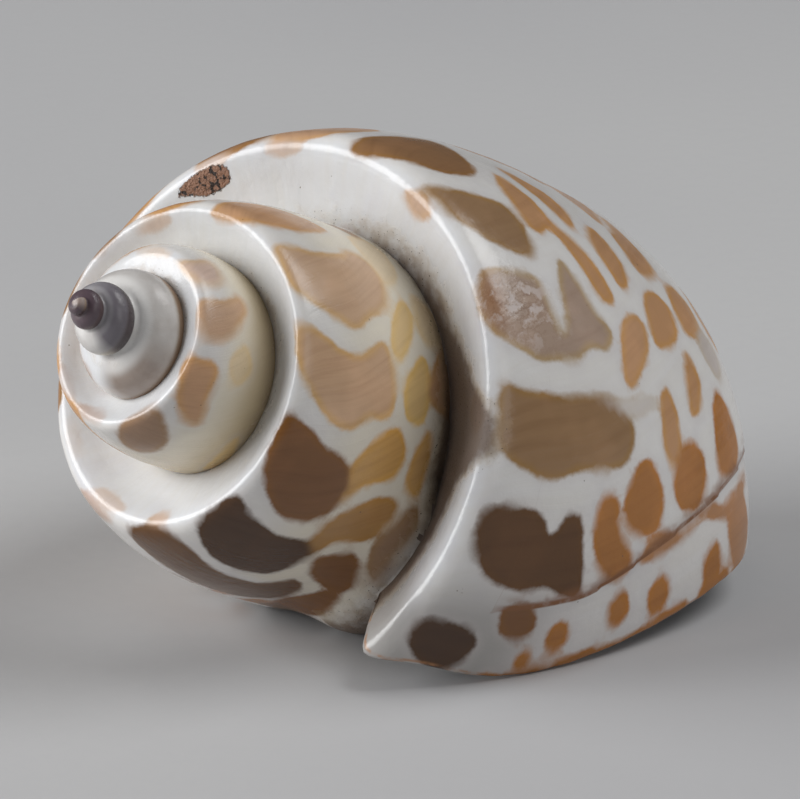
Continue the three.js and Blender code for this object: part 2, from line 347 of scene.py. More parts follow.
# Rows of spots below the shoulder's row
LOWER_ROWS = [
    (TAN, 1.0, [
        (-114, 0.315), (-110, 0.277), (-105, 0.26), (-98.5, 0.255), (-96.5, 0.28), (-98.5, 0.33),
        (-91, 0.37), (-84, 0.4), (-84.5, 0.45), (-91, 0.435), (-96.5, 0.4), (-100.5, 0.36),
        (-107, 0.353), (-112, 0.33),
    ]),
    (TAN, 1.0, [
        (-118, 0.385), (-112, 0.394), (-108, 0.41), (-100.5, 0.44), (-105, 0.48), (-111, 0.475),
        (-114, 0.44),
    ]),
    (TAN, 1.0, [
        (-103, 0.56), (-101, 0.52), (-97, 0.49), (-91, 0.5), (-88, 0.52), (-91, 0.563), (-96, 0.584),
    ]),
    (TAN, 0.95, [
        (-82.5, 0.54), (-81, 0.474), (-77, 0.44), (-70, 0.418), (-68, 0.44), (-71, 0.48), (-77, 0.54),
    ]),
    (TAN, 1.0, [
        (-90.5, 0.7), (-90, 0.65), (-86, 0.6), (-80, 0.58), (-78, 0.6), (-80, 0.67), (-83, 0.716),
        (-88, 0.73),
    ]),
    (TAN, 1.0, [(-79, 0.73), (-75, 0.7), (-68, 0.69), (-69, 0.73), (-75, 0.756)]),
    (TAN, 1.0, [
        (-112, 0.76), (-107, 0.72), (-104, 0.676), (-96, 0.668), (-95, 0.716), (-98.5, 0.78),
        (-105, 0.78),
    ]),
    (TAN, 1.0, [(-95.5, 0.83), (-93, 0.78), (-85, 0.765), (-84, 0.81), (-88, 0.87), (-93, 0.87)]),
    (RUST, 1.0, [
        (-74, 0.845), (-71, 0.81), (-65, 0.797), (-59.5, 0.805), (-60, 0.86), (-64, 0.91), (-70, 0.9),
    ]),
    (TAN, 1.0, [(-70, 0.587), (-67, 0.555), (-60, 0.563), (-57, 0.6), (-60, 0.627), (-66, 0.62)]),
    (RUST, 1.0, [
        (-62, 0.668), (-59, 0.62), (-54, 0.61), (-50.8, 0.65), (-52, 0.716), (-57, 0.74), (-61.5, 0.724),
    ]),
    (RUST, 1.0, [
        (-56, 0.506), (-54, 0.458), (-49, 0.434), (-45, 0.45), (-44, 0.506), (-46, 0.563), (-52, 0.563),
    ]),
    (RUST, 1.0, [
        (-46, 0.351), (-47.9, 0.371), (-47.5, 0.405), (-43.2, 0.432), (-39.8, 0.494), (-37.2, 0.5),
        (-34.9, 0.457), (-36.5, 0.398), (-40.9, 0.356),
    ]),
    (RUST, 0.9, [
        (-39.9, 0.541), (-43.6, 0.549), (-45.5, 0.588), (-47.1, 0.669), (-50.8, 0.751), (-43, 0.624),
    ]),
    (RUST, 0.9, [
        (-51, 0.755), (-53.6, 0.788), (-53.8, 0.836), (-57.1, 0.891), (-61.6, 0.983), (-53.3, 0.88),
    ]),
    (GREY, 0.3, [(-63.8, 0.32), (-65, 0.41), (-67.4, 0.512), (-66.2, 0.529), (-63, 0.446), (-62, 0.353)]),
    (TAN, 1.0, [(-122, 0.64), (-116, 0.63), (-108, 0.665), (-112, 0.72), (-118, 0.75), (-123, 0.71)]),
    (TAN, 0.8, [(-131, 0.4), (-127, 0.42), (-122, 0.54), (-119, 0.6), (-124, 0.6), (-129, 0.5)]),
    (GREY, 0.5, oval(-87, -77, 0.82, 0.92)),
    (CHESTNUT, 1.0, [
        (-365, 0.7), (-362, 0.6), (-358, 0.55), (-353, 0.6), (-351, 0.68), (-352, 0.76), (-358, 0.78),
    ]),
    (CHESTNUT, 1.0, oval(-352, -322, 0.7, 0.84)),
    (COFFEE, 1.0, oval(-338, -316, 0.82, 1.02)),
    (BROWN, 0.9, oval(-371, -362, 0.77, 0.88)),
    (HONEY, 0.95, [
        (-360, 0.45), (-370, 0.44), (-378, 0.504), (-384.6, 0.624), (-385.2, 0.708), (-381.7, 0.731),
        (-376, 0.712), (-370.7, 0.668), (-367, 0.542), (-361, 0.5),
    ]),
    (OLIVE, 0.8, [
        (-447, 0.69), (-444, 0.625), (-437, 0.556), (-429, 0.525), (-426, 0.55), (-428, 0.6),
        (-436, 0.675), (-442, 0.706),
    ]),
    (OLIVE, 0.9, [
        (-429, 0.74), (-424, 0.65), (-418, 0.6), (-411, 0.62), (-409, 0.675), (-411, 0.74), (-418, 0.76),
    ]),
    (AMBER, 0.9, [
        (-408, 0.79), (-402, 0.74), (-394, 0.725), (-389.5, 0.76), (-391, 0.81), (-401, 0.825),
    ]),
    (OLIVE, 0.4, [(-473.6, 0.623), (-461, 0.58), (-452, 0.615), (-459.5, 0.75), (-475, 0.78)]),
    (OLIVE, 0.5, [
        (-450, 0.77), (-449, 0.83), (-444, 0.908), (-438, 0.907), (-434.5, 0.78), (-440.5, 0.74),
    ]),
    (TAN, 0.9, [(-436, 0.91), (-430, 0.825), (-420, 0.76), (-416, 0.81), (-416, 0.975), (-432, 0.99)]),
    (BROWN, 0.9, [
        (-370, 0.735), (-377, 0.74), (-384, 0.78), (-387, 0.816), (-382, 0.835), (-375, 0.825),
        (-368.5, 0.806), (-366, 0.78),
    ]),
]

# Between the old lip and the lip
LIP_ROW = [
    (CHESTNUT, 1.0, [(-25.5, 0.25), (-23, 0.2), (-19, 0.224), (-19.5, 0.28), (-23, 0.297)]),
    (RUST, 1.0, [(-15.2, 0.31), (-17.2, 0.308), (-18.5, 0.322), (-16.2, 0.34), (-14.4, 0.333)]),
    (RUST, 1.0, oval(-25.5, -19.5, 0.35, 0.405)),
    (RUST, 1.0, oval(-34, -28, 0.49, 0.55)),
    (RUST, 1.0, oval(-39, -32, 0.605, 0.675)),
    (RUST, 1.0, oval(-47.5, -39, 0.785, 0.855)),
    (RUST, 0.9, oval(-58, -44, 0.87, 1.0)),
    (RUST, 0.9, oval(-61, -52, 1.08, 1.15)),
    (TAN, 0.9, oval(-72, -63, 1.19, 1.25)),
    (RUST, 0.9, oval(-68, -60, 1.3, 1.37)),
    (TAN, 0.9, oval(-82, -72, 1.42, 1.48)),
]
STAIN_PAST_LIP = 2  # degrees
# Stains on the lip's edge: across from and to, and depth in degrees
LIP_STAINS = [
    (0.26, 0.33, 1.2), (0.345, 0.385, 2.4), (0.41, 0.5, 2.6), (0.51, 0.65, 1.6), (0.66, 0.75, 2.2),
    (0.8, 0.89, 2.8),
]

# Faint spots on the shelf, and the dark crust there
SHELF_SPOTS = [
    (TAN, 0.75, oval(-112, -103, -0.068, -0.008)),
    (TAN, 0.5, oval(-155, -145.5, -0.045, 0.0)),
    (TAN, 0.45, oval(-176, -166.5, -0.03, 0.03)),
    (TAN, 0.6, oval(-330, -322, -0.055, -0.008)),
    (TAN, 0.4, oval(-308, -292, -0.06, -0.01)),
    (TAN, 0.15, oval(-276, -262, -0.06, -0.015)),
    (GREY, 0.35, oval(-60, -51, -0.1, -0.01)),
    (TAN, 0.5, oval(-535, -519, -0.08, -0.03)),
    (RUST, 0.45, oval(-676, -655, -0.07, 0.0)),
    (RUST, 0.25, oval(-643, -625, -0.05, 0.0)),
]
CRUST = [
    (-184, -0.043), (-180, -0.07), (-176, -0.093), (-168.5, -0.086), (-167.5, -0.043), (-171, -0.02),
    (-179, -0.02),
]

# The sides that the photograph doesn't show have more of the same: tongues from the shoulder, then spots
HIDDEN_TONGUES = [(-258, -158, 27), (-655, -510, 31), (-1010, -885, 36)]  # theta from, to and step
# Across, and theta from and to
HIDDEN_SPOTS = [
    (0.46, -318, -126), (0.58, -330, -120), (0.71, -336, -112), (0.84, -338, -124), (0.97, -340, -80),
]
BASE_SPOTS = [(1.1, -335, -75), (1.23, -332, -78), (1.36, -330, -80), (1.49, -328, -82)]
PENULTIMATE_SPOTS = [(0.55, -650, -490), (0.72, -650, -490), (0.9, -650, -490)]
TONGUE_WIDTH = (0.62, 0.8)  # shares of the step
TONGUE_REACH = (0.26, 0.46)
TONGUE_SHIFT = (-2, 2)
TONGUE_LEAN = (0, 6)
SPOT_START = (0, 8)
SPOT_LENGTH = (8, 15)
SPOT_HALF = (0.026, 0.042)
SPOT_SWAY = (-0.02, 0.02)
SPOT_STRENGTH = (0.85, 1)
SPOT_GAP = (4, 9)


def smoothstep(value, low, high):
    share = np.clip((value - low) / (high - low), 0, 1)
    return share * share * (3 - 2 * share)


def spline(points, steps, closed=False):
    """A smooth curve through the points, with so many steps between two of them."""
    points = np.asarray(points, float)
    if closed:
        chain = np.concatenate([points[-1:], points, points[:2]])
    else:
        chain = np.concatenate([points[:1], points, points[-1:]])
    t = (np.arange(steps) / steps)[:, None]
    spans = []
    for a, b, c, d in zip(chain, chain[1:], chain[2:], chain[3:]):
        leaving = (c - a) / 2
        arriving = (d - b) / 2
        cubic = (2 * b - 2 * c + leaving + arriving) * t**3
        spans.append(cubic + (-3 * b + 3 * c - 2 * leaving - arriving) * t**2 + leaving * t + b)
    if not closed:
        spans.append(points[-1:])
    return np.concatenate(spans)


def value_noise(place, seed):
    """Smooth noise from -1 to 1 along one coordinate."""
    values = np.random.default_rng(seed).uniform(-1, 1, NOISE_CELLS)
    cell = np.floor(place).astype(int)
    share = smoothstep(place - cell, 0, 1)
    return values[cell % NOISE_CELLS] * (1 - share) + values[(cell + 1) % NOISE_CELLS] * share


# The section at the lip as a fine curve, and its place across the whorl
SPAN_STEPS = 40
suture = np.array(SEAT) / EXPANSION
knots = [tuple(suture), *SHELF, SHOULDER, *WALL, SEAT, *BASE]
curve = spline(knots, SPAN_STEPS)
shoulder_step = knots.index(SHOULDER) * SPAN_STEPS
seat_step = knots.index(SEAT) * SPAN_STEPS
curve_length = np.concatenate([[0], np.cumsum(np.hypot(*np.diff(curve, axis=0).T))])
wall_length = curve_length[seat_step] - curve_length[shoulder_step]
curve_across = (curve_length - curve_length[shoulder_step]) / wall_length
direction = np.gradient(curve, axis=0)
direction /= np.linalg.norm(direction, axis=1, keepdims=True)
curve_outward = np.stack([direction[:, 1], -direction[:, 0]], axis=1)

# The plain section of the young whorls, an arch between the same two sutures
chord = (np.array(SEAT) - suture) / np.linalg.norm(np.array(SEAT) - suture)
arch_share = np.clip(np.arange(len(curve)) / seat_step, 0, 1)
arch_swell = ROUND_BULGE * np.sin(np.pi * arch_share) ** ROUND_POWER
young_curve = suture + arch_share[:, None] * (np.array(SEAT) - suture)
young_curve = young_curve + arch_swell[:, None] * np.array([chord[1], -chord[0]])

columns_across = np.concatenate(
    [
        np.linspace(curve_across[0], 1, WALL_COLUMNS + 1),
        np.linspace(1, curve_across[-1], BASE_COLUMNS + 1)[1:],
    ]
)


def along_curve(across, values):
    return np.stack([np.interp(across, curve_across, values[:, i]) for i in range(2)], axis=-1)


curve_lip = -spline([(fall,) for fall in LIP_FALL], SPAN_STEPS)[:, 0]
callus_shape = np.exp(-((np.linalg.norm(curve - CALLUS_CENTRE, axis=1) / CALLUS_RADIUS) ** 2))


def lip_theta(across):
    """Where the lip ends, in degrees."""
    return np.interp(across, curve_across, curve_lip)


def callus(theta, across):
    """Height of the smooth pad on the whorl before, beside the shoulder's end of the lip."""
    reach = smoothstep(-theta / 360, *CALLUS_RISES) * (1 - smoothstep(-theta / 360, *CALLUS_FALLS))
    return CALLUS_HEIGHT * reach * np.interp(across, curve_across, callus_shape)


def relief(theta, across):
    """Height of the growth waves and of the step at the old lip."""
    age = theta - lip_theta(across)
    height = sum(
        crest * (value_noise(age / spacing + across * WAVE_SLANT, SEED + i) - 1)
        for i, (spacing, crest) in enumerate(GROWTH_WAVES)
    )
    mark_theta, mark_across = np.array(OLD_LIP).T
    past = theta - np.interp(across, mark_across, mark_theta)
    healing = 1 - smoothstep(past, 0, OLD_LIP_HEALING)
    return height - np.where((past > 0) & (across > 0), OLD_LIP_STEP * healing, 0.0)


def suture_swell(theta, across):
    """The fuller lower wall of the whorl before the last, above the channel."""
    middle_theta, middle_across, spread_theta, spread_across, height = SUTURE_SWELL
    away = ((theta - middle_theta) / spread_theta) ** 2 + ((across - middle_across) / spread_across) ** 2
    return height * np.exp(-away)


def channel_fill(theta, across):
    """How much shallower the channel is than the section says."""
    fill_theta, fill_height = np.array(CHANNEL_FILL).T
    return np.interp(theta, fill_theta, fill_height) * (1 - smoothstep(across, *CHANNEL_FILL_END))


def surface(theta, across, depth=0.0, rough=True):
    """Points of the shell's skin, or so deep under it, in the coiling frame."""
    theta, across = np.broadcast_arrays(np.asarray(theta, float), np.asarray(across, float))
    turn = theta / 360
    youth = np.where(across <= 1, smoothstep(-turn, SHOULDERED_FROM, ROUND_BEFORE), 0.0)[..., None]
    point = along_curve(across, curve) * (1 - youth) + along_curve(across, young_curve) * youth
    point[..., 1] += (SPIRE_SINK * youth[..., 0]) / EXPANSION**turn
    rise = -depth
    if rough:
        rise = rise + relief(theta, across) + callus(theta, across)
        rise = rise + suture_swell(theta, across) + channel_fill(theta, across)
    point = point + along_curve(across, curve_outward) * np.asarray(rise)[..., None]
    size = EXPANSION**turn
    angle = np.radians(theta)
    radius = size * point[..., 0]
    return np.stack([radius * np.cos(angle), radius * np.sin(angle), size * point[..., 1]], axis=-1)


class Solid:
    """Points with their growth coordinates, and faces."""

    def __init__(self):
        self.points = []
        self.growth = []  # theta, across and 1 for the inside of the shell
        self.faces = []

    def add(self, point, theta, across, inside=0.0):
        self.points.append(tuple(point))
        self.growth.append((theta, across, inside))
        return len(self.points) - 1

    def face(self, corners):
        kept = [c for i, c in enumerate(corners) if c != corners[i - 1]]
        if len(kept) > 2:
            self.faces.append(kept)

    def object(self, name):
        mesh = bpy.data.meshes.new(name)
        mesh.from_pydata(self.points, [], self.faces)
        form = bmesh.new()
        form.from_mesh(mesh)
        bmesh.ops.triangulate(form, faces=[f for f in form.faces if len(f.verts) > 4])
        bmesh.ops.recalc_face_normals(form, faces=form.faces)
        if form.calc_volume(signed=True) < 0:
            bmesh.ops.reverse_faces(form, faces=form.faces)
        form.to_mesh(mesh)
        form.free()
        made = bpy.data.objects.new(name, mesh)
        bpy.context.scene.collection.objects.link(made)
        return made


def whorls():
    """The coiled whorls, solid, from the apex to the back of the cavity."""
    solid = Solid()
    last_row = round((WHORLS - CAVITY) * ROWS_PER_TURN)
    open_row = last_row - ROWS_PER_TURN  # from here on no later whorl covers the base
    early_end = EARLY_TURNS * ROWS_PER_TURN
    rows = [*range(0, early_end, EARLY_STEP), *range(early_end, last_row + 1)]

    def theta_of(row):
        return 360 * ((row - last_row) / ROWS_PER_TURN - CAVITY)

    apex = solid.add((0, 0, APEX_DEPTH), theta_of(0), 0.0)
    core = solid.add((0, 0, CORE_DEPTH), theta_of(last_row), curve_across[-1], 1.0)
    ids = {}
    for row in range(last_row + 1):
        theta = theta_of(row)
        last_column = WALL_COLUMNS + (BASE_COLUMNS if row >= open_row else 0)
        shown = range(1, last_column + 1) if row >= early_end or row % EARLY_STEP == 0 else ()
        if not shown and row >= early_end - ROWS_PER_TURN:
            shown = (WALL_COLUMNS,)  # the finer whorl after this one joins here
        points = surface(theta, columns_across)
        for column in shown:
            ids[row, column] = solid.add(points[column], theta, columns_across[column])
        ids[row, 0] = ids.get((row - ROWS_PER_TURN, WALL_COLUMNS), apex)
    for row, after in zip(rows, rows[1:]):
        last_column = WALL_COLUMNS + (BASE_COLUMNS if row >= open_row else 0)
        for column in range(last_column):
            below = [ids[r, column + 1] for r in range(after, row - 1, -1) if (r, column + 1) in ids]
            solid.face([ids[row, column], ids[after, column], *below])
        if row >= open_row:
            solid.face([ids[row, last_column], ids[after, last_column], core])
    for column in range(1, WALL_COLUMNS):
        solid.face([apex, ids[0, column], ids[0, column + 1]])
    end = [ids[last_row, column] for column in range(WALL_COLUMNS + BASE_COLUMNS + 1)]
    start = [ids[open_row, column] for column in range(WALL_COLUMNS + BASE_COLUMNS, WALL_COLUMNS, -1)]
    solid.face([*end, core, *start])
    return solid


def open_wall():
    """The wall round the cavity, a closed band from inside the solid whorls to the rounded lip."""
    solid = Solid()
    rows = round(CAVITY * ROWS_PER_TURN)
    buried = WALL_THICKNESS / 3
    edge = lip_theta(columns_across) + LIP_CHIPS * chips(columns_across)
    back = -360 * CAVITY
    half_row = 180 / ROWS_PER_TURN
    rings = [(np.full_like(edge, back - half_row), buried, WALL_THICKNESS - buried)]
    for row in range(rows):
        share = row / rows
        thickness = WALL_THICKNESS + (LIP_THICKNESS - WALL_THICKNESS) * smoothstep(share, 1 - LIP_TAPER, 1)
        rings.append((back + share * (edge - back), 0.0, thickness))
    radius = along_curve(columns_across, curve)[:, 0]
    for step in range(RIM_STEPS + 1):
        turn_share = step / RIM_STEPS * math.pi / 2
        behind = LIP_THICKNESS / 2 * (1 - math.sin(turn_share))
        half = LIP_THICKNESS / 2 * max(math.cos(turn_share), RIM_TIP)
        theta = edge - np.degrees(behind / np.maximum(radius, RIM_LEAST_RADIUS))
        rings.append((theta, LIP_THICKNESS / 2 - half, 2 * half))
    size = 2 * len(columns_across) + 2
    for theta, sunk, thickness in rings:
        outside = surface(theta, columns_across, sunk)
        inside = surface(theta, columns_across, sunk + thickness, rough=False)
        turned = math.radians(theta[0])
        root_shift = np.array([math.cos(turned), math.sin(turned), 0]) * ROOT
        root_shift = root_shift * EXPANSION ** (theta[0] / 360)
        solid.add(outside[0] - root_shift, theta[0], columns_across[0], 1.0)
        for point, angle, across in zip(outside, theta, columns_across):
            solid.add(point, angle, across)
        for point, angle, across in zip(inside[::-1], theta[::-1], columns_across[::-1]):
            solid.add(point, angle, across, 1.0)
        solid.add(inside[0] - root_shift, theta[0], columns_across[0], 1.0)

    def corner(ring, step):
        return ring * size + step % size

    for ring in range(len(rings) - 1):
        for step in range(size):
            ahead = [corner(ring + 1, step), corner(ring + 1, step + 1)]
            solid.face([corner(ring, step), *ahead, corner(ring, step + 1)])
    for ring in (0, len(rings) - 1):
        for step in range(len(columns_across)):
            far = [corner(ring, size - step - 2), corner(ring, size - step - 1)]
            solid.face([corner(ring, step), corner(ring, step + 1), *far])
    return solid


def chips(across):
    """The uneven edge of the lip, none at its two ends."""
    wander = sum(
        share * value_noise(across * waves + shift, CHIP_SEED + i)
        for i, (waves, shift, share) in enumerate(CHIP_WAVES)
    )
    return (wander - 1) * smoothstep(across, *CHIPPED_FROM)


def columella():
    """The pillar round the axis, which shows in the aperture."""
    solid = Solid()
    profile = spline(COLUMELLA, COLUMELLA_STEPS)
    top = solid.add((0, 0, profile[0, 1]), COLUMELLA_THETA, curve_across[-1], 1.0)
    tip = solid.add((0, 0, profile[-1, 1]), COLUMELLA_THETA, curve_across[-1], 1.0)
    first = len(solid.points)
    for radius, depth in profile:
        for side in range(COLUMELLA_SIDES):
            angle = 2 * math.pi * side / COLUMELLA_SIDES
            place = (radius * math.cos(angle), radius * math.sin(angle), depth)
            solid.add(place, COLUMELLA_THETA, curve_across[-1], 1.0)

    def at(ring, side):
        return first + ring * COLUMELLA_SIDES + side % COLUMELLA_SIDES

    for side in range(COLUMELLA_SIDES):
        solid.face([top, at(0, side), at(0, side + 1)])
        for ring in range(len(profile) - 1):
            ahead = [at(ring + 1, side), at(ring + 1, side + 1)]
            solid.face([at(ring, side), *ahead, at(ring, side + 1)])
        solid.face([tip, at(len(profile) - 1, side + 1), at(len(profile) - 1, side)])
    return solid


def joined(solids):
    """One closed mesh from the solids, and the growth coordinates of its vertices."""
    objects = [solid.object(f"solid_{i}") for i, solid in enumerate(solids)]
    for other in objects[1:]:
        union = objects[0].modifiers.new("union", "BOOLEAN")
        union.operation = "UNION"
        union.solver = "MANIFOLD"
        union.object = other
    scene_state = bpy.context.evaluated_depsgraph_get()
    mesh = bpy.data.meshes.new_from_object(objects[0].evaluated_get(scene_state))
    for made in objects:
        bpy.data.objects.remove(made)
    known_points = [point for solid in solids for point in solid.points]
    known_growth = np.array([growth for solid in solids for growth in solid.growth])
    tree = KDTree(len(known_points))
    for i, point in enumerate(known_points):
        tree.insert(point, i)
    tree.balance()
    growth = known_growth[[tree.find(v.co)[1] for v in mesh.vertices]]
    return mesh, growth


def coordinates(mesh):
    flat = np.empty(len(mesh.vertices) * 3, np.float32)
    mesh.vertices.foreach_get("co", flat)
    return flat.reshape(-1, 3).astype(float)


def lay_down(points):
    """Turns points from the coiling frame to the way the shell lies, in metres, inside the CAD box."""
    roll = math.radians(REST_TURN)
    rise = math.radians(APEX_RISE)
    side = np.array([math.cos(roll), math.sin(roll), 0])
    across = np.array([-math.sin(roll), math.cos(roll), 0])
    axis = np.array([0, 0, 1])
    ahead = -math.sin(rise) * side + math.cos(rise) * axis
    up = -math.cos(rise) * side - math.sin(rise) * axis
    laid = points @ np.stack([ahead, across, up]).T * MM * SNUG
    low, high = laid.min(0), laid.max(0)
    middle = (np.array(cad_low) + np.array(cad_high)) / 2
    laid[:, :2] += middle[:2] - (low[:2] + high[:2]) / 2
    laid[:, 2] += cad_low.z - low[2] - REST_WEAR * MM
    return np.maximum(laid, [-np.inf, -np.inf, cad_low.z])


def hidden_markings():
    """Markings of the sides that the photograph doesn't show, each a little different."""
    draw = np.random.default_rng(SEED)
    made = []
    for theta_from, theta_to, step in HIDDEN_TONGUES:
        for theta in np.arange(theta_from, theta_to, step):
            width = step * draw.uniform(*TONGUE_WIDTH)
            reach = draw.uniform(*TONGUE_REACH)
            start = theta + draw.uniform(*TONGUE_SHIFT)
            lean = lip_theta(reach) - draw.uniform(*TONGUE_LEAN)
            tongue = [
                (start, 0.02),
                (start + width * 0.5, 0.0),
                (start + width, 0.05),
                (start + width * 1.1 + lean * 0.4, reach * 0.5),
                (start + width * 0.8 + lean, reach),
                (start + width * 0.25 + lean, reach * 0.95),
                (start + width * 0.1 + lean * 0.5, reach * 0.5),
            ]
            made.append(([BROWN, TAN][draw.integers(2)], 1.0, tongue))
    for across, theta_from, theta_to in [*HIDDEN_SPOTS, *BASE_SPOTS, *PENULTIMATE_SPOTS]:
        theta = theta_from + draw.uniform(*SPOT_START)
        while theta < theta_to:
            length = draw.uniform(*SPOT_LENGTH)
            middle = across + draw.uniform(*SPOT_SWAY)
            half = draw.uniform(*SPOT_HALF)
            tilt = draw.uniform(*SPOT_SWAY)
            spot = [
                (theta, middle - tilt),
                (theta + length * draw.uniform(0.3, 0.5), middle - half),
                (theta + length, middle + tilt),
                (theta + length * draw.uniform(0.5, 0.7), middle + half),
            ]
            made.append(([TAN, RUST, BROWN][draw.integers(3)], draw.uniform(*SPOT_STRENGTH), spot))
            theta += length + draw.uniform(*SPOT_GAP)
    return made


def in_millimetres(theta, across, middle_theta):
    """Growth coordinates near an angle as flat coordinates on the shell's skin."""
    size = EXPANSION ** (middle_theta / 360)
    radius = np.interp(across, curve_across, curve[:, 0])
    along = np.radians(theta - middle_theta) * radius * size
    return np.stack([along, across * wall_length * size], axis=-1)


def inside_distance(places, outline):
    """Distance of places to a closed outline, above zero inside it."""
    step = np.roll(outline, -1, axis=0) - outline
    away = places[:, None] - outline
    share = np.clip((away * step).sum(2) / (step * step).sum(1), 0, 1)
    gap = np.linalg.norm(away - share[..., None] * step, axis=2).min(1)
    height = places[:, None, 1]
    passes = (outline[:, 1] > height) != (outline[:, 1] + step[:, 1] > height)
    slope = step[:, 0] / np.where(step[:, 1] == 0, 1, step[:, 1])
    crossing = outline[:, 0] + (height - outline[:, 1]) * slope
    inside = (passes & (places[:, None, 0] < crossing)).sum(1) % 2 == 1
    return np.where(inside, gap, -gap)


def marking_distance(theta, across, outline):
    """Distance inside a marking's outline, in millimetres, and which places are near enough to have one."""
    low = np.min(outline, axis=0) - MARKING_MARGIN
    high = np.max(outline, axis=0) + MARKING_MARGIN
    near = np.flatnonzero((theta > low[0]) & (theta < high[0]) & (across > low[1]) & (across < high[1]))
    edge = spline(outline, OUTLINE_STEPS, closed=True)
    middle = (low[0] + high[0]) / 2
    places = in_millimetres(theta[near], across[near], middle)
    return near, inside_distance(places, in_millimetres(edge[:, 0], edge[:, 1], middle))


def lip_stains():
    """Stains along the lip's edge, each between two places across and so many degrees deep."""
    made = []
    for start, end, depth in LIP_STAINS:
        middle = (start + end) / 2
        behind = [(lip_theta(at) - depth, at) for at in (end, middle, start)]
        beyond = [(lip_theta(at) + STAIN_PAST_LIP, at) for at in (start, middle, end)]
        made.append((RUST, 1.0, behind + beyond))
    return made


def marking_fields(theta, across):
    """The distance inside the markings at each place, their strength and their tone, blended."""
    weight = np.full(len(theta), math.exp(-FAR * BLEND))
    strength = np.zeros(len(theta))
    tone = weight[:, None] * np.array([*BROWN, 1])
    shown = [*SHOULDER_ROW, *LOWER_ROWS, *LIP_ROW, *lip_stains(), *SHELF_SPOTS]
    for colour, force, outline in [*shown, *hidden_markings()]:
        near, inside = marking_distance(theta, across, outline)
        share = np.exp(inside * BLEND)
        weight[near] += share
        strength[near] += share * force
        tone[near] += share[:, None] * np.array([*colour, 1])
    return np.log(weight) / BLEND, strength / weight, tone / weight[:, None]


def growth_at_corners(mesh, growth):
    """Growth coordinates of each face corner. A face beside a suture keeps to its own whorl."""
    corner_vertex = np.empty(len(mesh.loops), np.int32)
    mesh.loops.foreach_get("vertex_index", corner_vertex)
    corner_total = np.empty(len(mesh.polygons), np.int32)
    mesh.polygons.foreach_get("loop_total", corner_total)
    corners = growth[corner_vertex]
    face = np.repeat(np.arange(len(corner_total)), corner_total)
    newest = np.full(len(corner_total), -np.inf)
    np.maximum.at(newest, face, corners[:, 0])
    behind = corners[:, 0] < newest[face] - 180
    corners[behind, 0] += 360
    corners[behind, 1] = curve_across[0]
    return corners


def paint_fields(mesh, growth):
    """Stores what the material reads, as attributes of the face corners."""
    corners = growth_at_corners(mesh, growth).round(GROWTH_DIGITS)
    places, back = np.unique(corners, axis=0, return_inverse=True)
    theta, across, inside = places.T
    age = theta - lip_theta(across)
    size = EXPANSION ** (theta / 360)
    radius = np.interp(across, curve_across, curve[:, 0]) * size
    distance, strength, tone = marking_fields(theta, across)
    crust = np.full(len(theta), -FAR)
    near, crust_inside = marking_distance(theta, across, CRUST)
    crust[near] = crust_inside
    mark_theta, mark_across = np.array(OLD_LIP).T
    past_mark = np.radians(theta - np.interp(across, mark_across, mark_theta)) * radius
    past_mark = np.where(across > OLD_LIP[1][1], past_mark, FAR)
    from_lip = np.radians(-age) * radius
    # dirt in the channel, with painted shade there
    dirt_and_shade_theta, dirt_and_shade_amount, dirt_and_shade_reach = np.array(DIRT_AND_SHADE).T
    reach = np.interp(theta, dirt_and_shade_theta, dirt_and_shade_reach)
    shelf_dirt_and_shade = np.interp(theta, dirt_and_shade_theta, dirt_and_shade_amount)
    shelf_dirt_and_shade = shelf_dirt_and_shade * (1 - smoothstep(across, reach - DIRT_AND_SHADE_FADE, reach))
    wall_dirt_and_shade = np.interp(theta + 360, dirt_and_shade_theta, dirt_and_shade_amount) * smoothstep(across, *WALL_DIRT_AND_SHADE_ACROSS)
    channel_dirt_and_shade = np.where(across < MIDWALL, shelf_dirt_and_shade, np.where(theta < EARLIER_WHORLS, wall_dirt_and_shade, 0))
    glaze = np.maximum(inside, smoothstep(callus(theta, across), *CALLUS_GLAZED))
    glaze = np.maximum(glaze, smoothstep(across, *INNER_GLAZED) * smoothstep(-theta, *INNER_FROM))
    worn = np.exp(-(((theta - WORN[0]) / WORN[2]) ** 2) - ((across - WORN[1]) / WORN[3]) ** 2)
    fields = {
        "growth": np.stack([theta, across, age], axis=1),
        "marks": np.stack([distance, strength, worn], axis=1),
        "stains": np.stack([crust, past_mark, from_lip], axis=1),
        "cover": np.stack([glaze, channel_dirt_and_shade, np.zeros_like(channel_dirt_and_shade)], axis=1),
    }
    for name, values in fields.items():
        field = mesh.attributes.new(name, "FLOAT_VECTOR", "CORNER")
        field.data.foreach_set("vector", values[back].astype(np.float32).ravel())
    field = mesh.attributes.new("tone", "FLOAT_COLOR", "CORNER")
    field.data.foreach_set("color", tone[back].astype(np.float32).ravel())


class Value:
    """A number, vector or colour in a node material, with the arithmetic that the material needs."""

    def __init__(self, paint, socket):
        self.paint = paint
        self.socket = socket

    def __mul__(self, other):
        return self.paint.math("MULTIPLY", self, other)

    def __add__(self, other):
        return self.paint.math("ADD", self, other)

    def __sub__(self, number):
        return self + -number

    def fade(self, low, high, start=0.0, end=1.0):
        """Goes smoothly from start to end while the value goes from low to high."""
        inputs = {"Value": self, "From Min": low, "From Max": high, "To Min": start, "To Max": end}
        return self.paint.value("MapRange", inputs, interpolation_type="SMOOTHSTEP")

    def band(self, rise_from, rise_to, fall_from, fall_to):
        """1 between two fades, 0 outside them."""
        return self.fade(rise_from, rise_to) * self.fade(fall_from, fall_to, 1, 0)

    def coat(self, share, colour):
        """This colour under a share of another one."""
        return self.paint.mix(share, self, colour)

    def tint(self, share, factor):
        """This colour, a share of it multiplied by another one."""
        return self.paint.mix(share, self, factor, "MULTIPLY")


